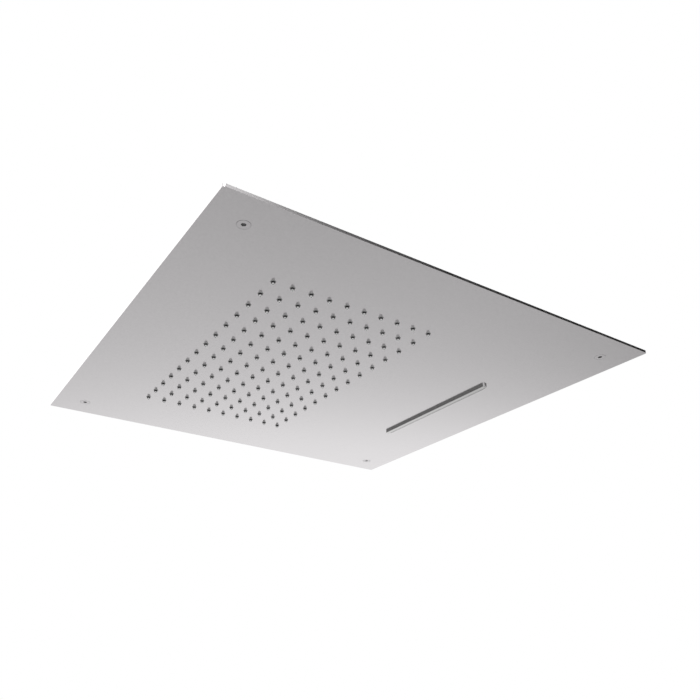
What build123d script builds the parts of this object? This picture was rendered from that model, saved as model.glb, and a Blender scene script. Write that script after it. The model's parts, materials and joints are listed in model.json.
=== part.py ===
from build123d import *
import math
import os

# A square ceiling shower head with two outlets, rain and waterfall, and its ceiling frame.
# Sizes are in millimetres. The origin is the centre of the frame's fixing plane, with +Z up.

# Face plate
plate_side = 500.0
plate_thickness = 3.0
plate_corner = 2.0

# Nozzle mat: one silicone moulding whose nozzles plug tapered holes in the plate
nozzle_columns = 10
nozzle_rows = 14
nozzle_pitch_x = 20.0
nozzle_pitch_y = 24.0
nozzle_field_inset = 184.0  # from the plate's -X edge to the middle of the field
nozzle_length = 3.2
nozzle_root_radius = 2.4
nozzle_tip_radius = 1.5
nozzle_bore_radius = 0.75
nozzle_clearance = 0.1
nozzle_sides = 5  # a round section drawn with few sides, as it repeats for every nozzle
bore_sides = 3
mat_thickness = 2.0
mat_margin = 14.0
mat_seat = 7.0

# Moulded housings behind the plate, one over each outlet
housing_wall = 2.5
housing_draft = 4.0
housing_corner = 8.0
rain_cavity_height = 22.0
waterfall_cavity_width = 34.0
waterfall_cavity_height = 32.0
waterfall_end_room = 7.0
gasket_thickness = 2.0
gasket_width = 6.0
rib_pitch = 50.0
rib_height = 4.0
rib_thickness = 2.5

# Weld studs and hexagon nuts that clamp the housings
stud_land = 14.0
stud_radius = 2.0
stud_spare = 1.5
stud_clearance = 0.3
nut_across_flats = 7.0
nut_height = 3.2
thread_clearance = 0.1
stud_sides = 6  # few sides, as it repeats for every stud and tapped hole

# Waterfall spout: a flat lip with rounded ends below the plate, fed by a throat through it.
# A chamber inside the lip leads the water to a narrow mouth along the lip's outer edge.
spout_inset = 86.2  # from the plate's +X edge to the middle of the lip
spout_length = 191.0
spout_width = 6.4
spout_drop = 2.7
lip_chamfer = 0.2
lip_floor = 1.0
lip_chamber_height = 1.0
mouth_width = 0.6
mouth_wall = 0.45
slit_length = 182.0
slit_width = 1.2
slit_offset = 1.2
throat_wall = 0.9
throat_rise = 8.0
throat_clearance = 0.15

# Threaded inlets, G 1/2 outside thread above a locknut
inlet_thread_radius = 10.4775
inlet_thread_length = 16.0
inlet_body_radius = 11.5
inlet_body_spare = 1.0
inlet_bore_radius = 7.5
inlet_hex_across_flats = 27.0
inlet_hex_height = 4.0
inlet_clearance = 0.4
inlet_sides = 12  # few sides inside, and a true circle only on the thread
seal_height = 2.0
locknut_across_flats = 30.0
locknut_height = 5.0

# Ceiling frame: four mitred angle rails, with a tapped block welded in each corner
frame_inset = 22.0
frame_height = 18.0
rail_thickness = 2.0
rail_flange = 25.0
block_side = 20.0
anchor_radius = 3.3
anchor_inset = 13.0
anchor_pitch_y = 280.0

# Countersunk screws that hold the plate to the corner blocks
screw_radius = 3.0
screw_head_radius = 6.0
screw_length = 15.0
screw_clearance = 0.15
socket_across_flats = 4.0
socket_depth = 2.2

# Levels
plate_back = -frame_height
plate_face = plate_back - plate_thickness
rain_flange = plate_back + mat_thickness
waterfall_flange = plate_back + gasket_thickness

# Sizes that follow from the ones above
nozzle_field_x = nozzle_field_inset - plate_side / 2
spout_x = plate_side / 2 - spout_inset
mat_x = (nozzle_columns - 1) * nozzle_pitch_x + 2 * mat_margin
mat_y = (nozzle_rows - 1) * nozzle_pitch_y + 2 * mat_margin
rain_cavity_x = mat_x - 2 * mat_seat
rain_cavity_y = mat_y - 2 * mat_seat
throat_width = slit_width + 2 * throat_wall
throat_length = slit_length + 2 * throat_wall
throat_x = spout_x + slit_offset
waterfall_cavity_length = throat_length + 2 * waterfall_end_room
screw_head_height = screw_head_radius - screw_radius
frame_side = plate_side - 2 * frame_inset
anchor_pitch_x = frame_side - 2 * anchor_inset
screw_pitch = frame_side - 2 * rail_thickness - block_side


def at(x, y, z):
    return Location((x, y, z))


def hexagon(across_flats):
    return RegularPolygon(across_flats / 2, 6, major_radius=False, rotation=30)


def nozzle_places(z):
    grid = GridLocations(nozzle_pitch_x, nozzle_pitch_y, nozzle_columns, nozzle_rows)
    return [at(nozzle_field_x, 0, z) * place for place in grid]


def nozzle_taper(growth, reach):
    # A tapered plug from the plate's back to `reach` below its face, `growth` wider than the nozzle.
    slope = (nozzle_root_radius - nozzle_tip_radius) / nozzle_length
    wide = nozzle_root_radius + slope * plate_thickness + growth
    draft = math.degrees(math.atan(slope * math.cos(math.pi / nozzle_sides)))
    plug = extrude(RegularPolygon(wide, nozzle_sides), plate_thickness + reach, taper=draft)
    return Rot(180, 0, 0) * plug


def screw_places(z):
    grid = GridLocations(screw_pitch, screw_pitch, 2, 2)
    return [at(0, 0, z) * place for place in grid]


def countersunk(growth, length):
    # The solid of a countersunk screw, head down, `growth` larger all round than the screw.
    shank = extrude(RegularPolygon(screw_radius + growth, stud_sides), length)
    head = Cone(
        screw_head_radius + growth,
        screw_radius + growth,
        screw_head_height,
        align=(Align.CENTER, Align.CENTER, Align.MIN),
    )
    return shank + head


def face_plate():
    outline = RectangleRounded(plate_side, plate_side, plate_corner)
    plate = at(0, 0, plate_face) * extrude(outline, plate_thickness)
    slot = Rectangle(throat_width + 2 * throat_clearance, throat_length + 2 * throat_clearance)
    cuts = [place * nozzle_taper(nozzle_clearance, 0) for place in nozzle_places(plate_back)]
    cuts += [place * countersunk(screw_clearance, plate_thickness) for place in screw_places(plate_face)]
    cuts += [at(throat_x, 0, plate_face) * extrude(slot, plate_thickness)]
    return plate - cuts


def nozzle_mat():
    sheet = at(nozzle_field_x, 0, plate_back) * extrude(Rectangle(mat_x, mat_y), mat_thickness)
    drop = plate_thickness + nozzle_length
    bore = at(0, 0, -drop) * extrude(RegularPolygon(nozzle_bore_radius, bore_sides), drop + mat_thickness)
    places = nozzle_places(plate_back)
    plug = nozzle_taper(0, nozzle_length)
    return sheet + [place * plug for place in places] - [place * bore for place in places]


def stud_places(cavity_x, cavity_y, seat, along):
    # Places round a housing's flange, midway across the land outside its seal, `along` on each long side.
    reach_x = cavity_x / 2 + seat + stud_land / 2
    reach_y = cavity_y / 2 + seat + stud_land / 2
    return list(GridLocations(2 * reach_x, 2 * reach_y / (along - 1), 2, along))


def studs(seal_thickness):
    height = seal_thickness + housing_wall + nut_height + stud_spare
    return extrude(RegularPolygon(stud_radius, stud_sides), height)


def nut():
    bore = RegularPolygon(stud_radius + thread_clearance, stud_sides)
    return extrude(hexagon(nut_across_flats) - bore, nut_height)


def housing(cavity_x, cavity_y, cavity_height, seat, places):
    # A drafted tray, open below, with a flange at z = 0, ribs across its top and a hole for its inlet.
    flange_x = cavity_x + 2 * (seat + stud_land)
    flange_y = cavity_y + 2 * (seat + stud_land)
    height = cavity_height + housing_wall
    flange = Rectangle(flange_x, flange_y)
    body = extrude(chamfer(flange.vertices(), housing_corner), housing_wall)
    walls = Rectangle(cavity_x + 2 * housing_wall, cavity_y + 2 * housing_wall)
    body += extrude(walls, height, taper=housing_draft)
    lean = 2 * height * math.tan(math.radians(housing_draft))
    top_x = cavity_x + 2 * housing_wall - lean
    top_y = cavity_y + 2 * housing_wall - lean
    rib = at(0, 0, height) * extrude(Rectangle(top_x, rib_thickness), rib_height)
    pairs = int((top_y / 2 - rib_thickness) // rib_pitch)
    body += [at(0, side * rib_pitch * (i + 1), 0) * rib for i in range(pairs) for side in (-1, 1)]
    cavity = extrude(Rectangle(cavity_x, cavity_y), cavity_height, taper=housing_draft)
    inlet_hole = extrude(RegularPolygon(inlet_body_radius + inlet_clearance, inlet_sides), height)
    stud_hole = extrude(RegularPolygon(stud_radius + stud_clearance, stud_sides), housing_wall)
    return body - [cavity, inlet_hole] - [place * stud_hole for place in places]


def inlet():
    # A hollow nipple hung from a hexagon, with z = 0 at the underside of the housing's top wall.
    body_length = seal_height + housing_wall + locknut_height + inlet_body_spare
    foot = at(0, 0, -seal_height - inlet_hex_height)
    hexagon_head = extrude(hexagon(inlet_hex_across_flats), inlet_hex_height)
    section = RegularPolygon(inlet_body_radius, inlet_sides)
    body = at(0, 0, inlet_hex_height) * extrude(section, body_length)
    thread_foot = inlet_hex_height + body_length
    thread = at(0, 0, thread_foot) * extrude(Circle(inlet_thread_radius), inlet_thread_length)
    bore = extrude(RegularPolygon(inlet_bore_radius, inlet_sides), thread_foot + inlet_thread_length)
    return foot * (hexagon_head + body + thread - bore)


def inlet_seal():
    ring = RegularPolygon(inlet_hex_across_flats / 2, inlet_sides)
    ring -= RegularPolygon(inlet_body_radius + inlet_clearance, inlet_sides)
    return at(0, 0, -seal_height) * extrude(ring, seal_height)


def inlet_locknut():
    bore = RegularPolygon(inlet_body_radius + thread_clearance, inlet_sides)
    return at(0, 0, housing_wall) * extrude(hexagon(locknut_across_flats) - bore, locknut_height)


def spout_way(x, z, width, height):
    # A passage along the spout, with its lower inner edge at x and z.
    return at(x, 0, z) * Box(width, slit_length, height, align=(Align.MIN, Align.CENTER, Align.MIN))


def waterfall_spout():
    lip = extrude(Rot(0, 0, 90) * SlotOverall(spout_length, spout_width), spout_drop)
    lip = chamfer(lip.faces().sort_by(Axis.Z)[0].edges(), lip_chamfer)
    spout = at(spout_x, 0, plate_face - spout_drop) * lip
    throat = Rectangle(throat_width, throat_length)
    spout += at(throat_x, 0, plate_face) * extrude(throat, plate_thickness + throat_rise)
    inner_x = throat_x - slit_width / 2
    outer_x = spout_x + spout_width / 2 - mouth_wall
    floor_z = plate_face - spout_drop + lip_floor
    duct = spout_way(inner_x, floor_z, slit_width, plate_back + throat_rise - floor_z)
    chamber = spout_way(inner_x, floor_z, outer_x - inner_x, lip_chamber_height)
    mouth = spout_way(outer_x - mouth_width, floor_z - lip_floor, mouth_width, lip_floor)
    return spout - [duct, chamber, mouth]


def waterfall_gasket():
    inner = Rectangle(waterfall_cavity_width, waterfall_cavity_length)
    outer = Rectangle(waterfall_cavity_width + 2 * gasket_width, waterfall_cavity_length + 2 * gasket_width)
    return at(spout_x, 0, plate_back) * extrude(outer - inner, gasket_thickness)


def frame_rail(holes):
    # The rail of the +X side: an angle with its flange on top, turned inwards, and mitred ends.
    half = frame_side / 2
    web = at(half - rail_thickness / 2, 0, -frame_height)
    rail = web * extrude(Rectangle(rail_thickness, frame_side), frame_height)
    flange = at(half - rail_flange / 2, 0, -rail_thickness)
    rail += flange * extrude(Rectangle(rail_flange, frame_side), rail_thickness)
    quarter = make_face(Polyline((0, 0), (half, -half), (half, half), close=True))
    rail = rail & at(0, 0, -frame_height) * extrude(quarter, frame_height)
    hole = extrude(Circle(anchor_radius), rail_thickness)
    return rail - [at(anchor_pitch_x / 2, y, -rail_thickness) * hole for y in holes]


def corner_block():
    hole = RegularPolygon(screw_radius + thread_clearance, stud_sides)
    return extrude(Rectangle(block_side, block_side) - hole, frame_height - rail_thickness)


def plate_screw():
    socket = extrude(hexagon(socket_across_flats), socket_depth)
    return countersunk(0, screw_length) - socket


def group(solid, places):
    return Compound([place * solid for place in places])


def outlet_nodes(name, x, flange_z, cavity, cavity_height, seat, along):
    # The housing of one outlet with its fasteners and its inlet.
    places = stud_places(*cavity, seat, along)
    seal_thickness = flange_z - plate_back
    nut_z = flange_z + housing_wall
    inlet_place = at(x, 0, flange_z + cavity_height)
    return {
        f"{name}_chamber": at(x, 0, flange_z) * housing(*cavity, cavity_height, seat, places),
        f"{name}_studs": group(studs(seal_thickness), [at(x, 0, plate_back) * place for place in places]),
        f"{name}_nuts": group(nut(), [at(x, 0, nut_z) * place for place in places]),
        f"{name}_inlet": inlet_place * inlet(),
        f"{name}_inlet_seal": inlet_place * inlet_seal(),
        f"{name}_inlet_locknut": inlet_place * inlet_locknut(),
    }


nodes = {
    "face_plate": face_plate(),
    "nozzle_mat": nozzle_mat(),
    "waterfall_spout": waterfall_spout(),
    "waterfall_gasket": waterfall_gasket(),
    "plate_screws": group(plate_screw(), screw_places(plate_face)),
}

rain_cavity = (rain_cavity_x, rain_cavity_y)
nodes.update(outlet_nodes("rain", nozzle_field_x, rain_flange, rain_cavity, rain_cavity_height, mat_seat, 4))

waterfall_cavity = (waterfall_cavity_width, waterfall_cavity_length)
nodes.update(outlet_nodes("waterfall", spout_x, waterfall_flange, waterfall_cavity, waterfall_cavity_height,
                          gasket_width, 2))

anchor_row = (-anchor_pitch_y / 2, anchor_pitch_y / 2)
rails = {"right": anchor_row, "back": (), "left": anchor_row, "front": ()}
for turn, (side, holes) in enumerate(rails.items()):
    nodes[f"frame_rail_{side}"] = Rot(0, 0, 90 * turn) * frame_rail(holes)

corners = ["left_front", "left_back", "right_front", "right_back"]
for corner, place in zip(corners, screw_places(plate_back)):
    nodes[f"corner_block_{corner}"] = place * corner_block()

os.makedirs("parts", exist_ok=True)
for name, shape in nodes.items():
    export_step(shape, f"parts/{name}.step")
print(len(nodes), "nodes written")
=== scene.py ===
import json
import math

import bmesh
import bpy
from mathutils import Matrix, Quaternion, Vector


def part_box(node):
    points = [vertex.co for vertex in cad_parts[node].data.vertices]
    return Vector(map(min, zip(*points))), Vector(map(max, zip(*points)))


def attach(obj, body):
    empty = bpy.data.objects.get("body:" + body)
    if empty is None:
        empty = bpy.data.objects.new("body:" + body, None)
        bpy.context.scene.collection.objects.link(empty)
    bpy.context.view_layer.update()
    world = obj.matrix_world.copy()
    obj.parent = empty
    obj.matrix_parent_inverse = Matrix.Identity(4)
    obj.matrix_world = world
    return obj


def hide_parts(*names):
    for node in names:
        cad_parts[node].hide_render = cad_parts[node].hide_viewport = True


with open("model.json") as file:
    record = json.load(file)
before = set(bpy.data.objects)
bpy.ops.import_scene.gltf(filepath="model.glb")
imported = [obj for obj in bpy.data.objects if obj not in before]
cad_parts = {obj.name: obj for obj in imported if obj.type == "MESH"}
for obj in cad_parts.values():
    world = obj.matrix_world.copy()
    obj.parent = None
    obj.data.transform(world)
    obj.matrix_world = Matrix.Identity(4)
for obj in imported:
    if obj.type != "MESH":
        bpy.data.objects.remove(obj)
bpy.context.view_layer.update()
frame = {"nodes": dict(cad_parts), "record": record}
mm = 0.001
fullTurn = 2 * math.pi
outlets = ("rain", "waterfall")

plateLow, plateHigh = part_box("face_plate")
plateFace = plateLow.z   # the face that shows, seen from below
plateBack = plateHigh.z
print("frame loaded:", len(frame["nodes"]), "nodes")


# Shader helpers

def addNode(tree, kind, **values):
    node = tree.nodes.new(kind)
    for key, value in values.items():
        setattr(node, key, value)
    return node


def setSockets(node, **values):
    for key, value in values.items():
        node.inputs[key.replace("_", " ")].default_value = value
    return node


def feed(tree, socket, value):
    # Another node's output is linked; a plain number or a colour of three values is set.
    if isinstance(value, bpy.types.NodeSocket):
        tree.links.new(value, socket)
    else:
        socket.default_value = (*value, 1.0) if isinstance(value, tuple) else value


def maths(tree, operation, *values, clamp=False):
    node = addNode(tree, "ShaderNodeMath", operation=operation, use_clamp=clamp)
    for socket, value in zip(node.inputs, values):
        feed(tree, socket, value)
    return node.outputs["Value"]


def mixed(tree, kind, factor, first, second):
    node = addNode(tree, "ShaderNodeMix", data_type=kind)
    for label, value in (("Factor", factor), ("A", first), ("B", second)):
        feed(tree, node.inputs[label], value)
    return node.outputs["Result"]


def spread(tree, value, start, end, low=0.0, high=1.0, ease="LINEAR"):
    node = addNode(tree, "ShaderNodeMapRange", interpolation_type=ease)
    setSockets(node, From_Min=start, From_Max=end, To_Min=low, To_Max=high)
    tree.links.new(value, node.inputs["Value"])
    return node.outputs["Result"]


def noise(tree, vector, scale, detail, roughness):
    node = setSockets(addNode(tree, "ShaderNodeTexNoise"), Detail=detail, Roughness=roughness)
    tree.links.new(vector, node.inputs["Vector"])
    tree.links.new(scale, node.inputs["Scale"])
    return node.outputs["Fac"]


def objectPoint(tree):
    return addNode(tree, "ShaderNodeTexCoord").outputs["Object"]


def axesOf(tree, vector):
    split = addNode(tree, "ShaderNodeSeparateXYZ")
    tree.links.new(vector, split.inputs["Vector"])
    return split.outputs


def faceNormal(tree):
    return axesOf(tree, addNode(tree, "ShaderNodeNewGeometry").outputs["Normal"])


def mixShaders(tree, factor, first, second, outputName):
    choose = addNode(tree, "ShaderNodeMixShader")
    for socket, source in zip(choose.inputs, (factor, first, second)):
        tree.links.new(source, socket)
    tree.links.new(choose.outputs["Shader"], tree.nodes[outputName].inputs["Surface"])


def newGroup(name, inputs, outputs):
    tree = bpy.data.node_groups.new(name, "ShaderNodeTree")
    for label, default in inputs.items():
        socket = tree.interface.new_socket(label, in_out="INPUT", socket_type="NodeSocketFloat")
        socket.default_value = default
    for label in outputs:
        tree.interface.new_socket(label, in_out="OUTPUT", socket_type="NodeSocketFloat")
    return tree, tree.nodes.new("NodeGroupInput").outputs, tree.nodes.new("NodeGroupOutput").inputs


def buildDirectionalGrain():
    # Fine lines along X from a grinding belt, with a soft mottle under them.
    inputs = {"Line Scale": 900.0, "Stretch": 0.12, "Mottle Scale": 60.0, "Mottle Share": 0.4}
    tree, into, out = newGroup("directionalGrain", inputs, ["Grain"])
    point = objectPoint(tree)
    squeeze = setSockets(addNode(tree, "ShaderNodeCombineXYZ"), Y=1.0, Z=1.0)
    tree.links.new(into["Stretch"], squeeze.inputs["X"])
    stretched = addNode(tree, "ShaderNodeVectorMath", operation="MULTIPLY")
    tree.links.new(point, stretched.inputs[0])
    tree.links.new(squeeze.outputs["Vector"], stretched.inputs[1])
    lines = noise(tree, stretched.outputs["Vector"], into["Line Scale"], detail=3.0, roughness=0.6)
    mottle = noise(tree, point, into["Mottle Scale"], detail=2.0, roughness=0.5)
    tree.links.new(mixed(tree, "FLOAT", into["Mottle Share"], lines, mottle), out["Grain"])
    return tree


def buildMouldedSkin():
    # The even, slightly pebbled skin of a moulded part, with cloudy patches.
    inputs = {"Pebble Scale": 1400.0, "Cloud Scale": 25.0}
    tree, into, out = newGroup("mouldedSkin", inputs, ["Pebble", "Cloud"])
    point = objectPoint(tree)
    pebble = addNode(tree, "ShaderNodeTexVoronoi", feature="SMOOTH_F1")
    setSockets(pebble, Smoothness=0.6, Randomness=0.9)
    tree.links.new(point, pebble.inputs["Vector"])
    tree.links.new(into["Pebble Scale"], pebble.inputs["Scale"])
    tree.links.new(pebble.outputs["Distance"], out["Pebble"])
    cloud = noise(tree, point, into["Cloud Scale"], detail=4.0, roughness=0.55)
    tree.links.new(cloud, out["Cloud"])
    return tree


def newMaterial(name):
    material = bpy.data.materials.new(name)
    material.use_nodes = True
    tree = material.node_tree
    return material, tree, tree.nodes["Principled BSDF"]


def placeGroup(tree, group, **values):
    node = addNode(tree, "ShaderNodeGroup", node_tree=group)
    return setSockets(node, **values).outputs


directionalGrain = buildDirectionalGrain()
mouldedSkin = buildMouldedSkin()


# Finishes

patternSpan = (0.3, 0.7)   # most values of a noise pattern lie between these
uprightLimit = 0.7         # a face is upright while its normal's Z is under this


def toneRange(tree, pattern, look):
    colour = mixed(tree, "RGBA", pattern, look["dark"], look["light"])
    return colour, spread(tree, pattern, *patternSpan, look["roughLow"], look["roughHigh"])


def dressShader(tree, shader, colour, roughness, height, look):
    bump = setSockets(addNode(tree, "ShaderNodeBump"), Strength=look["bump"], Distance=look["bumpDepth"])
    tree.links.new(height, bump.inputs["Height"])
    tree.links.new(colour, shader.inputs["Base Color"])
    tree.links.new(roughness, shader.inputs["Roughness"])
    tree.links.new(bump.outputs["Normal"], shader.inputs["Normal"])


def sunkInPlate(tree, recessShade):
    # 1 on what lies between the plate's two faces, 0 on the rest. This is the mask of the painted shade on
    # the screws.
    height = axesOf(tree, objectPoint(tree))["Z"]
    sunk = spread(tree, height, plateFace + recessShade["from"], plateFace + recessShade["to"])
    inPlate = maths(tree, "LESS_THAN", height, plateBack - recessShade["underBack"])
    return maths(tree, "MULTIPLY", sunk, inPlate)


def groundSteel(name, look):
    material, tree, shader = newMaterial(name)
    setSockets(shader, Metallic=1.0)
    grain = placeGroup(tree, directionalGrain, Line_Scale=look["lineScale"], Stretch=look["stretch"],
                       Mottle_Scale=look["mottleScale"], Mottle_Share=look["mottleShare"])["Grain"]
    colour, roughness = toneRange(tree, grain, look)
    if "recessShade" in look:   # painted shade: what lies sunk in the plate is painted darker
        sunk = sunkInPlate(tree, look["recessShade"])
        colour = mixed(tree, "RGBA", sunk, colour, look["recessShade"]["colour"])
    if "sides" in look:   # the upright faces have their own smoothness, and some a darker colour, a painted dark reflection
        sides = look["sides"]
        normal = faceNormal(tree)
        upright = maths(tree, "LESS_THAN", maths(tree, "ABSOLUTE", normal["Z"]), uprightLimit)
        roughness = mixed(tree, "FLOAT", upright, roughness, sides["roughness"])
        if "colour" in sides:
            colour = mixed(tree, "RGBA", upright, colour, sides["colour"])
        if "corner" in sides:   # painted highlight: the turn from one upright face to the next is painted bright
            turn = maths(tree, "ABSOLUTE", maths(tree, "MULTIPLY", normal["X"], normal["Y"]))
            paintedHighlight = spread(tree, turn, *sides["cornerTurn"], ease="SMOOTHSTEP")
            colour = mixed(tree, "RGBA", paintedHighlight, colour, sides["corner"])
    if "back" in look:   # the back is left as rolled
        faceUp = maths(tree, "GREATER_THAN", faceNormal(tree)["Z"], uprightLimit)
        roughness = mixed(tree, "FLOAT", faceUp, roughness, look["back"]["roughness"])
        colour = mixed(tree, "RGBA", faceUp, colour, look["back"]["colour"])
    dressShader(tree, shader, colour, roughness, grain, look)
    return material


def mouldedSurface(name, look):
    material, tree, shader = newMaterial(name)
    skin = placeGroup(tree, mouldedSkin, Pebble_Scale=look["pebbleScale"], Cloud_Scale=look["cloudScale"])
    colour, roughness = toneRange(tree, skin["Cloud"], look)
    dressShader(tree, shader, colour, roughness, skin["Pebble"], look)
    return material


def nozzleRubber(name, look):
    # Dark silicone with painted light: a painted highlight on the end and on the flank where it faces the
    # viewer, painted light on the foot, painted dark outlines at the edges, and a paler painted reflection in
    # the plate.
    material, tree, shader = newMaterial(name)
    setSockets(shader, Specular_IOR_Level=look["gloss"])
    skin = placeGroup(tree, mouldedSkin, Pebble_Scale=look["pebbleScale"], Cloud_Scale=look["cloudScale"])
    colour, roughness = toneRange(tree, skin["Cloud"], look)
    below = maths(tree, "SUBTRACT", plateFace, axesOf(tree, objectPoint(tree))["Z"])
    # Painted highlight: the flank turns pale towards the tip where it faces the viewer, and its edges stay
    # dark as painted outlines.
    rise = spread(tree, below, look["paleFrom"], look["paleTo"], ease="SMOOTHSTEP")
    outline = setSockets(addNode(tree, "ShaderNodeLayerWeight"), Blend=look["outlineBlend"])
    inside = spread(tree, outline.outputs["Facing"], look["outlineTo"], look["outlineFrom"])
    flank = maths(tree, "MULTIPLY", rise, inside)
    # Painted light on the foot next to the plate, and a painted highlight on the flat of the tip.
    skirt = spread(tree, below, look["skirtFrom"], look["skirtTo"], look["skirt"], 0.0, ease="SMOOTHSTEP")
    endFace = maths(tree, "GREATER_THAN", below, look["endFace"])
    paintedLight = maths(tree, "MAXIMUM", flank, maths(tree, "MAXIMUM", skirt, endFace))
    # Painted reflection: in the plate's mirror image the nozzle is painted paler.
    mirrored = addNode(tree, "ShaderNodeLightPath").outputs["Is Glossy Ray"]
    paintedLightShare = mixed(tree, "FLOAT", mirrored, paintedLight, look["inPlate"])
    colour = mixed(tree, "RGBA", paintedLightShare, colour, look["paintedLight"])
    dressShader(tree, shader, colour, roughness, skin["Pebble"], look)
    return material


def zincCoat(name, look):
    # Hot-dip zinc: flat crystals of slightly different greys.
    material, tree, shader = newMaterial(name)
    setSockets(shader, Metallic=1.0)
    crystals = addNode(tree, "ShaderNodeTexVoronoi", feature="F1")
    setSockets(crystals, Scale=look["crystalScale"], Randomness=1.0)
    tree.links.new(objectPoint(tree), crystals.inputs["Vector"])
    split = addNode(tree, "ShaderNodeSeparateColor")
    tree.links.new(crystals.outputs["Color"], split.inputs["Color"])
    shade = split.outputs["Red"]
    colour, roughness = toneRange(tree, shade, look)
    dressShader(tree, shader, colour, roughness, shade, look)
    return material


plateSteel = groundSteel("plateSteel", {
    "lineScale": 1500.0, "stretch": 0.25, "mottleScale": 420.0, "mottleShare": 0.5,
    "dark": (0.66, 0.642, 0.651), "light": (0.82, 0.798, 0.809),
    "roughLow": 0.13, "roughHigh": 0.19, "bump": 0.2, "bumpDepth": 0.05 * mm,
    "sides": {"roughness": 0.25}, "back": {"roughness": 0.5, "colour": (0.6, 0.59, 0.585)},
})
spoutSteel = groundSteel("spoutSteel", {
    "lineScale": 2500.0, "stretch": 0.3, "mottleScale": 300.0, "mottleShare": 0.5,
    "dark": (0.6, 0.595, 0.59), "light": (0.66, 0.655, 0.65),
    "roughLow": 0.07, "roughHigh": 0.12, "bump": 0.02, "bumpDepth": 0.05 * mm,
    # The sides' darker colour is a painted dark reflection, and the corner colour a painted highlight.
    "sides": {"roughness": 0.2, "colour": (0.31, 0.308, 0.306),
              "corner": (0.95, 0.95, 0.95), "cornerTurn": (0.36, 0.46)},
})
fastenerSteel = groundSteel("fastenerSteel", {
    "lineScale": 2200.0, "stretch": 0.6, "mottleScale": 500.0, "mottleShare": 0.4,
    "dark": (0.64, 0.622, 0.632), "light": (0.76, 0.739, 0.75),
    "roughLow": 0.2, "roughHigh": 0.28, "bump": 0.04, "bumpDepth": 0.05 * mm,
    # Painted shade: the socket, rim and thread sunk in the plate are painted darker.
    "recessShade": {"colour": (0.42, 0.42, 0.42), "from": 0.02 * mm, "to": 0.12 * mm, "underBack": 0.05 * mm},
})
inletBrass = groundSteel("inletBrass", {
    "lineScale": 1800.0, "stretch": 1.0, "mottleScale": 160.0, "mottleShare": 0.6,
    "dark": (0.62, 0.43, 0.19), "light": (0.76, 0.57, 0.29),
    "roughLow": 0.2, "roughHigh": 0.3, "bump": 0.05, "bumpDepth": 0.05 * mm,
})
# The pale colour, its depths and the outline values set the painted light on the nozzles.
nozzleSilicone = nozzleRubber("nozzleSilicone", {
    "pebbleScale": 2600.0, "cloudScale": 180.0,
    "dark": (0.006, 0.006, 0.006), "light": (0.014, 0.014, 0.014), "paintedLight": (0.96, 0.96, 0.96),
    "paleFrom": 1.6 * mm, "paleTo": 2.7 * mm, "endFace": 3.0 * mm,   # depths below the plate's face
    "skirt": 0.4, "skirtFrom": 0.2 * mm, "skirtTo": 0.8 * mm,
    "outlineBlend": 0.5, "outlineFrom": 0.1, "outlineTo": 0.5, "inPlate": 0.65, "gloss": 0.15,
    "roughLow": 0.3, "roughHigh": 0.4, "bump": 0.05, "bumpDepth": 0.05 * mm,
})
sealRubber = mouldedSurface("sealRubber", {
    "pebbleScale": 2000.0, "cloudScale": 90.0, "dark": (0.018, 0.018, 0.019), "light": (0.04, 0.04, 0.042),
    "roughLow": 0.6, "roughHigh": 0.75, "bump": 0.15, "bumpDepth": 0.08 * mm,
})
housingPlastic = mouldedSurface("housingPlastic", {
    "pebbleScale": 1400.0, "cloudScale": 22.0, "dark": (0.05, 0.051, 0.054), "light": (0.082, 0.084, 0.088),
    "roughLow": 0.48, "roughHigh": 0.6, "bump": 0.25, "bumpDepth": 0.08 * mm,
})
frameZinc = zincCoat("frameZinc", {
    "crystalScale": 160.0, "dark": (0.42, 0.435, 0.445), "light": (0.66, 0.675, 0.685),
    "roughLow": 0.34, "roughHigh": 0.5, "bump": 0.05, "bumpDepth": 0.05 * mm,
})
finishes = {
    "plate_steel": plateSteel, "spout_steel": spoutSteel, "fastener_steel": fastenerSteel,
    "inlet_brass": inletBrass, "nozzle_silicone": nozzleSilicone, "seal_rubber": sealRubber,
    "housing_plastic": housingPlastic, "frame_zinc": frameZinc,
}
slotOfNode = {row["node"]: row["material_slot"] for row in frame["record"]["subparts"]}
for nodeName, nodeObject in frame["nodes"].items():
    nodeObject.data.materials.clear()
    nodeObject.data.materials.append(finishes[slotOfNode[nodeName]])
print("finishes:", len(finishes))


# Mesh helpers

meshLook = {
    "joinWithin": 0.0005 * mm, "joinNodeWithin": 0.001 * mm,
    "flatWithin": 0.5, "softenOver": 25, "sharpOver": 32, "softSharpOver": 40,   # degrees
    "flatWeight": 100, "sortDigits": 6,
}


def circleLoop(radius, z, count):
    turns = [fullTurn * i / count for i in range(count)]
    return [(radius * math.cos(a), radius * math.sin(a), z) for a in turns]


def hexagonLoop(acrossFlats, z, count, limit=math.inf):
    # A hexagon with flats facing X, cut off at the radius `limit`, which makes the turned chamfer.
    points = []
    for i in range(count):
        angle = fullTurn * i / count
        offFlat = (angle + math.pi / 6) % (math.pi / 3) - math.pi / 6
        radius = min(acrossFlats / 2 / math.cos(offFlat), limit)
        points.append((radius * math.cos(angle), radius * math.sin(angle), z))
    return points


def stadiumLoop(length, width, z, count, x):
    # A round-ended outline along Y, with all its points on the two ends.
    radius = width / 2
    half = count // 2
    points = []
    for end in (1, -1):
        centreY = end * (length / 2 - radius)
        for i in range(half):
            angle = math.pi * i / (half - 1) + (0 if end > 0 else math.pi)
            points.append((x + radius * math.cos(angle), centreY + radius * math.sin(angle), z))
    return points


def rectangleLoop(x, sizeX, sizeY, z):
    corners = [(-1, -1), (1, -1), (1, 1), (-1, 1)]
    return [(x + i * sizeX / 2, j * sizeY / 2, z) for i, j in corners]


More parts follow.
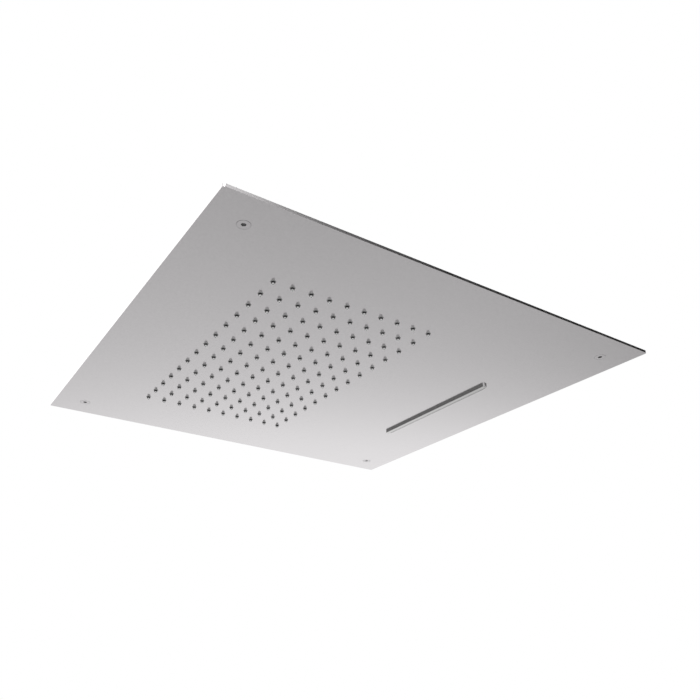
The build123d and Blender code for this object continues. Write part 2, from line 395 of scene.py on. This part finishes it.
def stackLoops(loops, closed):
    # Loops of equal length become rings of quads; an open stack gets a flat cap at each end.
    count = len(loops[0])
    verts = [point for loop in loops for point in loop]
    faces = []
    for i in range(len(loops) if closed else len(loops) - 1):
        low, high = i * count, (i + 1) % len(loops) * count
        for j in range(count):
            k = (j + 1) % count
            faces.append((low + j, low + k, high + k, high + j))
    if not closed:
        faces.append(tuple(range(count)))
        faces.append(tuple(range(len(verts) - count, len(verts))))
    return verts, faces


def repeatMesh(shape, places):
    verts, faces = shape
    allVerts = [tuple(Vector(v) + Vector(place)) for place in places for v in verts]
    allFaces = [tuple(i + n * len(verts) for i in f) for n in range(len(places)) for f in faces]
    return allVerts, allFaces


def joinMeshes(*shapes):
    verts, faces = [], []
    for shapeVerts, shapeFaces in shapes:
        faces += [tuple(i + len(verts) for i in f) for f in shapeFaces]
        verts += shapeVerts
    return verts, faces


def dressPiece(piece, slotName, nodeNames):
    piece.data.materials.append(finishes[slotName])
    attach(piece, "root")
    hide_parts(*nodeNames)


def finishMesh(name, working, sharpOver):
    bmesh.ops.recalc_face_normals(working, faces=working.faces)
    mesh = bpy.data.meshes.new(name)
    working.to_mesh(mesh)
    working.free()
    mesh.shade_smooth()
    mesh.set_sharp_from_angle(angle=math.radians(sharpOver))
    piece = bpy.data.objects.new(name, mesh)
    bpy.context.scene.collection.objects.link(piece)
    # Flats stay flat beside small rounds.
    evenNormals = piece.modifiers.new("evenNormals", "WEIGHTED_NORMAL")
    evenNormals.keep_sharp = True
    evenNormals.weight = meshLook["flatWeight"]
    return piece


def makePiece(name, shape, slotName, nodeNames, sharpOver=meshLook["sharpOver"]):
    verts, faces = shape
    working = bmesh.new()
    points = [working.verts.new(v) for v in verts]
    for face in faces:
        working.faces.new([points[i] for i in face])
    bmesh.ops.remove_doubles(working, verts=working.verts, dist=meshLook["joinWithin"])
    dressPiece(finishMesh(name, working, sharpOver), slotName, nodeNames)


def openNode(nodeName):
    # A working copy of a CAD node's mesh, with its split corners joined again.
    working = bmesh.new()
    working.from_mesh(frame["nodes"][nodeName].data)
    bmesh.ops.remove_doubles(working, verts=working.verts, dist=meshLook["joinNodeWithin"])
    return working


def softenedCopy(name, nodeName, look, keepEdge=None):
    # The CAD node's own form with its sharp edges broken by a small radius.
    working = openNode(nodeName)
    bmesh.ops.dissolve_limit(working, angle_limit=math.radians(meshLook["flatWithin"]),
                             verts=working.verts, edges=working.edges)
    softenOver = math.radians(meshLook["softenOver"])
    corners = [e for e in working.edges if e.is_manifold and e.calc_face_angle(0) > softenOver]
    if keepEdge:
        corners = [e for e in corners if keepEdge(e)]
    bmesh.ops.bevel(working, geom=corners, offset=look["edgeRadius"], offset_type="OFFSET",
                    segments=look["edgeSegments"], profile=0.5, affect="EDGES", clamp_overlap=True)
    dressPiece(finishMesh(name, working, meshLook["softSharpOver"]), slotOfNode[nodeName], [nodeName])


def solidBoxes(nodeName):
    # The lowest and highest corner of each separate solid in a CAD node, in a fixed order.
    working = openNode(nodeName)
    left = set(working.verts)
    boxes = []
    while left:
        queue = [left.pop()]
        found = []
        while queue:
            vert = queue.pop()
            found.append(vert.co.copy())
            for edge in vert.link_edges:
                other = edge.other_vert(vert)
                if other in left:
                    left.discard(other)
                    queue.append(other)
        low = Vector(min(p[i] for p in found) for i in range(3))
        high = Vector(max(p[i] for p in found) for i in range(3))
        boxes.append((low, high))
    working.free()
    return sorted(boxes, key=lambda box: tuple(round(c, meshLook["sortDigits"]) for c in box[0]))


def centreAt(box, z):
    low, high = box
    return ((low.x + high.x) / 2, (low.y + high.y) / 2, z)


def heightOf(box):
    return box[1].z - box[0].z


# Face plate

plateLook = {"edgeRadius": 0.2 * mm, "edgeSegments": 3, "rimWidth": 2.5 * mm, "backBand": 0.1 * mm}


def onPlateBackRim(edge):
    middle = (edge.verts[0].co + edge.verts[1].co) / 2
    reach = max(abs(middle.x), abs(middle.y))
    onBack = min(v.co.z for v in edge.verts) > plateBack - plateLook["backBand"]
    return onBack and reach > plateHigh.x - plateLook["rimWidth"]


softenedCopy("plateSheet", "face_plate", plateLook, onPlateBackRim)
print("face plate done")


# Nozzle mat

nozzleLook = {
    "columns": 10, "rows": 14, "pitchX": 20 * mm, "pitchY": 24 * mm, "sides": 24,
    "plugRadius": 1.95 * mm, "plugSink": 0.5 * mm, "collarRadius": 2.8 * mm, "collarDepth": 0.15 * mm,
    "collarWall": 0.4, "collarTurn": 0.85, "collarInset": 0.3,   # shares of the collar's depth
    "neckRadius": 2.1 * mm, "neckFlare": 0.1 * mm, "flareDepth": 0.05 * mm, "neckDepth": 0.2 * mm,
    "tipRadius": 1.5 * mm, "tipRound": 0.3 * mm, "tipSteps": 4,
    "boreRadius": 0.75 * mm, "boreBell": 0.12 * mm,
}


def nozzleProfile(look, tip):
    # Radius and height from the plug's top, round the collar and the tip, and up the bore.
    top = plateBack + look["plugSink"]
    plug, collar, neck, bore = (look[k] for k in ("plugRadius", "collarRadius", "neckRadius", "boreRadius"))
    deep, turn, bell = look["collarDepth"], look["tipRound"], look["boreBell"]
    collarFoot = plateFace - deep
    profile = [
        (plug, top), (plug, plateFace), (collar, plateFace),
        (collar, plateFace - look["collarWall"] * deep),
        (collar - look["collarInset"] * deep, plateFace - look["collarTurn"] * deep),
        (neck + look["neckFlare"], collarFoot - look["flareDepth"]),
        (neck, collarFoot - look["neckDepth"]),
    ]
    for i in range(look["tipSteps"] + 1):   # a quarter round from the flank to the flat of the tip
        angle = math.pi / 2 * i / look["tipSteps"]
        profile.append((look["tipRadius"] - turn * (1 - math.cos(angle)), tip + turn * (1 - math.sin(angle))))
    return profile + [(bore + bell, tip), (bore, tip + bell), (bore, top)]


def buildNozzleMat(look):
    matLow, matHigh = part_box("nozzle_mat")
    loops = [circleLoop(r, z, look["sides"]) for r, z in nozzleProfile(look, matLow.z)]
    middle = (matLow + matHigh) / 2
    places = []
    for i in range(look["columns"]):
        for j in range(look["rows"]):
            x = middle.x + (i - (look["columns"] - 1) / 2) * look["pitchX"]
            y = middle.y + (j - (look["rows"] - 1) / 2) * look["pitchY"]
            places.append((x, y, 0))
    corners = [(matLow.x, matLow.y), (matHigh.x, matLow.y), (matHigh.x, matHigh.y), (matLow.x, matHigh.y)]
    sheet = stackLoops([[(x, y, z) for x, y in corners] for z in (plateBack, matHigh.z)], False)
    shape = joinMeshes(sheet, repeatMesh(stackLoops(loops, True), places))
    makePiece("nozzleField", shape, "nozzle_silicone", ["nozzle_mat"])


buildNozzleMat(nozzleLook)
print("nozzles done")


# Waterfall spout

spoutLook = {
    "edgeRadius": 0.12 * mm, "endRadius": 1.4 * mm, "edgeSteps": 6, "points": 64,
    "mouthLength": 182 * mm, "mouthWidth": 0.7 * mm, "mouthWall": 0.2 * mm, "mouthDepth": 1.0 * mm,
    "slitOffset": 1.2 * mm, "slitWidth": 1.2 * mm, "throatWall": 0.9 * mm,
}


def lipLoops(length, width, x, low, look):
    # The lip's wall and its lower edge, a small round that grows to a full one at the two ends.
    step = 1 * mm   # a second outline, this far in, shows each point its way inward
    outline = stadiumLoop(length, width, plateFace, look["points"], x)
    shrunk = stadiumLoop(length - 2 * step, width - 2 * step, plateFace, look["points"], x)
    loops = [outline]
    for i in range(look["edgeSteps"] + 1):
        angle = math.pi / 2 * i / look["edgeSteps"]
        loop = []
        for point, inner in zip(outline, shrunk):
            inward = (Vector(inner) - Vector(point)) / step
            turn = look["edgeRadius"] + (look["endRadius"] - look["edgeRadius"]) * inward.y ** 2
            inset = turn * (1 - math.cos(angle))
            z = low + turn * (1 - math.sin(angle))
            loop.append((point[0] + inset * inward.x, point[1] + inset * inward.y, z))
        loops.append(loop)
    return loops


def buildSpout(look):
    low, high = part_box("waterfall_spout")
    length, width = high.y - low.y, high.x - low.x
    middleX = (low.x + high.x) / 2
    mouthX = high.x - look["mouthWall"] - look["mouthWidth"] / 2
    loops = lipLoops(length, width, middleX, low.z, look)
    for z in (low.z, low.z + look["mouthDepth"]):
        loops.append(stadiumLoop(look["mouthLength"], look["mouthWidth"], z, look["points"], mouthX))
    slitX = middleX + look["slitOffset"]
    slit = (look["slitWidth"], look["mouthLength"])
    throat = [side + 2 * look["throatWall"] for side in slit]
    levels = [(throat, plateFace), (throat, high.z), (slit, high.z), (slit, plateBack)]
    duct = [rectangleLoop(slitX, *size, z) for size, z in levels]
    shape = joinMeshes(stackLoops(loops, False), stackLoops(duct, False))
    makePiece("spoutLip", shape, "spout_steel", ["waterfall_spout"])


buildSpout(spoutLook)
print("spout done")


# Screws, studs and nuts

screwLook = {
    "headRadius": 6.0 * mm, "rimDepth": 0.1 * mm, "shankRadius": 2.95 * mm,
    "grooveWidth": 0.28 * mm, "grooveDepth": 0.25 * mm, "grooveSlope": 0.03 * mm,
    "socketAcrossFlats": 4.0 * mm, "socketDepth": 2.2 * mm, "socketBevel": 0.15 * mm, "points": 72,
}
studLook = {
    "radius": 2.0 * mm, "pitch": 0.7 * mm, "depth": 0.38 * mm, "lead": 0.4 * mm, "sides": 24, "perTurn": 6,
}
nutLook = {"acrossFlats": 7.0 * mm, "chamfer": 0.35 * mm, "boreRadius": 2.0 * mm, "points": 72}
# A chamfer's slope and starts are given per unit of its height.
chamferLook = {"steps": 4, "slope": 1.75, "nutStart": 0.3, "inletStart": 0.2}
hardSharpOver = 25     # degrees: hexagons and screw heads keep their edges
threadSharpOver = 50   # degrees: thread turns stay smooth


def buildScrews(look):
    boxes = solidBoxes("plate_screws")
    face, top = boxes[0][0].z, boxes[0][1].z
    count, socket, bevel = look["points"], look["socketAcrossFlats"], look["socketBevel"]
    rim, head, shank = face + look["rimDepth"], look["headRadius"], look["shankRadius"]
    grooveEdge = head - look["grooveWidth"]
    loops = [
        hexagonLoop(socket, face + look["socketDepth"], count),
        hexagonLoop(socket, face + bevel, count),
        hexagonLoop(socket + 2 * bevel, face, count),
        circleLoop(grooveEdge, face, count),
        circleLoop(grooveEdge + look["grooveSlope"], face + look["grooveDepth"], count),
        circleLoop(head, rim, count),
        circleLoop(shank, rim + head - shank, count),
        circleLoop(shank, top, count),
    ]
    shape = repeatMesh(stackLoops(loops, False), [centreAt(box, 0) for box in boxes])
    makePiece("plateScrewSet", shape, "fastener_steel", ["plate_screws"], hardSharpOver)


def threadedRod(radius, pitch, depth, lead, sides, perTurn, length):
    # Rounded thread turns round a rod from z = 0, with a lead-in at the top.
    steps = max(2, round(length / pitch * perTurn))
    loops = []
    for i in range(steps + 1):
        z = length * i / steps
        crest = min(radius, radius - depth * (1 - (length - z) / lead))
        loop = []
        for j in range(sides):
            angle = fullTurn * j / sides
            wave = 0.5 - 0.5 * math.cos(fullTurn * z / pitch - angle)
            r = max(min(crest, radius - depth * wave), radius - depth)
            loop.append((r * math.cos(angle), r * math.sin(angle), z))
        loops.append(loop)
    return loops


def chamferLoops(acrossFlats, chamfer, points, start):
    # From the chamfer's circle on a hexagon's face, at z = 0, up to the full hexagon.
    circle = acrossFlats / 2 + chamfer * start
    loops = []
    for i in range(chamferLook["steps"] + 1):
        z = chamfer * i / chamferLook["steps"]
        loops.append(hexagonLoop(acrossFlats, z, points, circle + chamferLook["slope"] * z))
    return loops


def chamferedNut(acrossFlats, chamfer, boreRadius, points, height):
    # A hexagon with a turned chamfer on both faces and a bevelled bore.
    bottom = chamferLoops(acrossFlats, chamfer, points, chamferLook["nutStart"])
    top = [[(x, y, height - z) for x, y, z in loop] for loop in reversed(bottom)]
    loops = list(reversed(bottom + top))
    wide = boreRadius + chamfer
    bore = [(wide, 0), (boreRadius, chamfer), (boreRadius, height - chamfer), (wide, height)]
    return loops + [circleLoop(r, z, points) for r, z in bore]


def buildStudsAndNuts(outlet):
    studs = solidBoxes(f"{outlet}_studs")
    rod = stackLoops(threadedRod(length=heightOf(studs[0]), **studLook), False)
    shape = repeatMesh(rod, [centreAt(box, box[0].z) for box in studs])
    makePiece(f"{outlet}StudSet", shape, "fastener_steel", [f"{outlet}_studs"], threadSharpOver)
    nuts = solidBoxes(f"{outlet}_nuts")
    nut = stackLoops(chamferedNut(height=heightOf(nuts[0]), **nutLook), True)
    shape = repeatMesh(nut, [centreAt(box, box[0].z) for box in nuts])
    makePiece(f"{outlet}NutSet", shape, "fastener_steel", [f"{outlet}_nuts"], hardSharpOver)


buildScrews(screwLook)
for outlet in outlets:
    buildStudsAndNuts(outlet)
print("fasteners done")


# Inlets and their locknuts

inletLook = {
    "hexAcrossFlats": 27 * mm, "hexHeight": 4 * mm, "hexChamfer": 0.8 * mm, "bodyRadius": 11.5 * mm,
    "threadFoot": 14.5 * mm, "boreRadius": 7.5 * mm, "boreBevel": 0.6 * mm, "points": 72, "sharpOver": 40,
    "thread": {
        "radius": 10.4775 * mm, "pitch": 1.814 * mm, "depth": 1.1 * mm, "lead": 1.4 * mm, "perTurn": 10,
    },
}
locknutLook = {"acrossFlats": 30 * mm, "chamfer": 0.9 * mm, "boreRadius": 11.5 * mm, "points": 96}


def inletLoops(look, height):
    # From the bore's lower bevel over the hexagon, the body and the thread, and down the bore.
    count, body, foot = look["points"], look["bodyRadius"], look["threadFoot"]
    bore, bevel = look["boreRadius"], look["boreBevel"]
    flats, hexTop = look["hexAcrossFlats"], look["hexHeight"]
    loops = [circleLoop(bore + bevel, 0, count)]
    loops += chamferLoops(flats, look["hexChamfer"], count, chamferLook["inletStart"])
    loops += [hexagonLoop(flats, hexTop, count), circleLoop(body, hexTop, count)]
    loops.append(circleLoop(body, foot - (body - look["thread"]["radius"]), count))
    rod = threadedRod(length=height - foot, sides=count, **look["thread"])
    loops += [[(x, y, z + foot) for x, y, z in loop] for loop in rod]
    inner = [(bore + bevel, height), (bore, height - bevel), (bore, bevel)]
    return loops + [circleLoop(r, z, count) for r, z in inner]


def buildInlet(outlet, look):
    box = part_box(f"{outlet}_inlet")
    shape = repeatMesh(stackLoops(inletLoops(look, heightOf(box)), True), [centreAt(box, box[0].z)])
    makePiece(f"{outlet}InletNipple", shape, "inlet_brass", [f"{outlet}_inlet"], look["sharpOver"])
    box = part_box(f"{outlet}_inlet_locknut")
    nut = stackLoops(chamferedNut(height=heightOf(box), **locknutLook), True)
    shape = repeatMesh(nut, [centreAt(box, box[0].z)])
    makePiece(f"{outlet}Locknut", shape, "inlet_brass", [f"{outlet}_inlet_locknut"], hardSharpOver)


for outlet in outlets:
    buildInlet(outlet, inletLook)
print("inlets done")


# Housings and ceiling frame

housingLook = {"edgeRadius": 0.7 * mm, "edgeSegments": 3}
railLook = {"edgeRadius": 0.35 * mm, "edgeSegments": 2}
for outlet in outlets:
    softenedCopy(f"{outlet}Housing", f"{outlet}_chamber", housingLook)
for side in ("right", "back", "left", "front"):
    softenedCopy(f"{side}Rail", f"frame_rail_{side}", railLook)
print("housings and frame done")


# Studio: a pale floor, white surroundings, soft lamps, and cards that only reflections see

studioLook = {
    "ambient": 0.55, "backdrop": 1.0, "white": (1.0, 1.0, 1.0, 1.0),
    "floorDrop": 1.2, "floorReach": 9.0, "floorColour": (0.58, 0.58, 0.58, 1.0), "floorRoughness": 0.9,
    "brightFrom": 1.1, "brightGain": 0.235, "brightTurn": 0.137, "fadeFrom": 3.4, "fadeTo": 5.2,
    "lamps": {
        "key": {"at": (-1.1, -1.6, 1.7), "size": 1.6, "watts": 35.0},
        "fill": {"at": (1.8, 1.2, 1.3), "size": 1.8, "watts": 22.0},
    },
    "cards": {
        "sideCard": {"at": (1.85, -1.35, 1.2), "size": 2.7, "shade": 0.01},
        "farCard": {"at": (1.9, 2.3, 0.3), "size": 1.1, "shade": 0.08},
        "rimCard": {"at": (-0.6, 2.2, 1.3), "size": 2.0, "shade": 1.45},
        "nearCard": {"at": (-2.5, -0.4, -1.0), "size": 0.8, "shade": 1.3},
    },
}


def standAndAim(holder, stand, target=(0, 0, 0), roll=0.0):
    holder.location = stand
    holder.rotation_mode = "QUATERNION"
    facing = (Vector(target) - Vector(stand)).to_track_quat("-Z", "Y")
    holder.rotation_quaternion = facing @ Quaternion((0, 0, 1), math.radians(roll))


def buildWorld(look):
    # Dim for the light it sheds, white where the camera or a reflection sees it.
    world = bpy.data.worlds.new("studioWhite")
    bpy.context.scene.world = world
    world.use_nodes = True
    tree = world.node_tree
    soft = setSockets(tree.nodes["Background"], Color=look["white"], Strength=look["ambient"])
    white = addNode(tree, "ShaderNodeBackground")
    setSockets(white, Color=look["white"], Strength=look["backdrop"])
    path = addNode(tree, "ShaderNodeLightPath").outputs
    seen = maths(tree, "ADD", path["Is Camera Ray"], path["Is Glossy Ray"])
    seenOrThrough = maths(tree, "ADD", seen, path["Is Transmission Ray"], clamp=True)
    mixShaders(tree, seenOrThrough, soft.outputs["Background"], white.outputs["Background"], "World Output")


def stagePlane(name, half, z):
    mesh = bpy.data.meshes.new(name)
    corners = [(-half, -half, z), (half, -half, z), (half, half, z), (-half, half, z)]
    mesh.from_pydata(corners, [], [(0, 1, 2, 3)])
    plane = bpy.data.objects.new(name, mesh)
    bpy.context.scene.collection.objects.link(plane)
    material, tree, shader = newMaterial(name)
    mesh.materials.append(material)
    return plane, tree, shader


def buildFloor(look):
    # A grey floor with painted light: it glows white towards the back right and, further off, on all sides.
    _, tree, shader = stagePlane("paleFloor", look["floorReach"], plateFace - look["floorDrop"])
    setSockets(shader, Roughness=look["floorRoughness"], Base_Color=look["floorColour"])
    point = objectPoint(tree)
    axes = axesOf(tree, point)
    ahead = maths(tree, "SUBTRACT", axes["Y"], look["brightFrom"])
    gain = maths(tree, "MULTIPLY_ADD", axes["X"], look["brightTurn"], look["brightGain"])
    bright = maths(tree, "MULTIPLY", ahead, gain, clamp=True)
    distance = addNode(tree, "ShaderNodeVectorMath", operation="LENGTH")
    tree.links.new(point, distance.inputs[0])
    fade = spread(tree, distance.outputs["Value"], look["fadeFrom"], look["fadeTo"], ease="SMOOTHSTEP")
    white = maths(tree, "MAXIMUM", bright, fade)
    # Painted light: the floor's glow stands in for light falling on it.
    glow = addNode(tree, "ShaderNodeEmission")
    mixShaders(tree, white, shader.outputs["BSDF"], glow.outputs["Emission"], "Material Output")


def buildLamp(name, lamp):
    light = bpy.data.lights.new(name, "AREA")
    light.size = lamp["size"]
    light.energy = lamp["watts"]
    holder = bpy.data.objects.new(name, light)
    standAndAim(holder, lamp["at"])
    bpy.context.scene.collection.objects.link(holder)


def buildCard(name, card):
    flag, tree, _ = stagePlane(name, card["size"] / 2, 0)
    glow = setSockets(addNode(tree, "ShaderNodeEmission"), Strength=card["shade"])
    tree.links.new(glow.outputs["Emission"], tree.nodes["Material Output"].inputs["Surface"])
    standAndAim(flag, card["at"])
    flag.visible_camera = False
    flag.visible_diffuse = False
    flag.visible_shadow = False


# Camera, solved from the plate's corners in the photograph
cameraLook = {
    "stand": (-0.40639, -0.62898, -0.35893), "aim": (-0.0403, -0.0700, -0.0210), "roll": -0.087,
    "lens": 36.21, "sensor": 36.0, "shiftX": 0.0300, "nearest": 0.01,
}


def buildCamera(look):
    data = bpy.data.cameras.new("photoCamera")
    data.lens = look["lens"]
    data.sensor_width = look["sensor"]
    data.shift_x = look["shiftX"]
    data.clip_start = look["nearest"]
    camera = bpy.data.objects.new("photoCamera", data)
    standAndAim(camera, look["stand"], look["aim"], look["roll"])
    bpy.context.scene.collection.objects.link(camera)
    bpy.context.scene.camera = camera


buildWorld(studioLook)
buildFloor(studioLook)
for lampName, lampLook in studioLook["lamps"].items():
    buildLamp(lampName + "Lamp", lampLook)
for cardName, cardLook in studioLook["cards"].items():
    buildCard(cardName, cardLook)
buildCamera(cameraLook)
bpy.context.scene.view_settings.view_transform = "Standard"
print("studio and camera done")
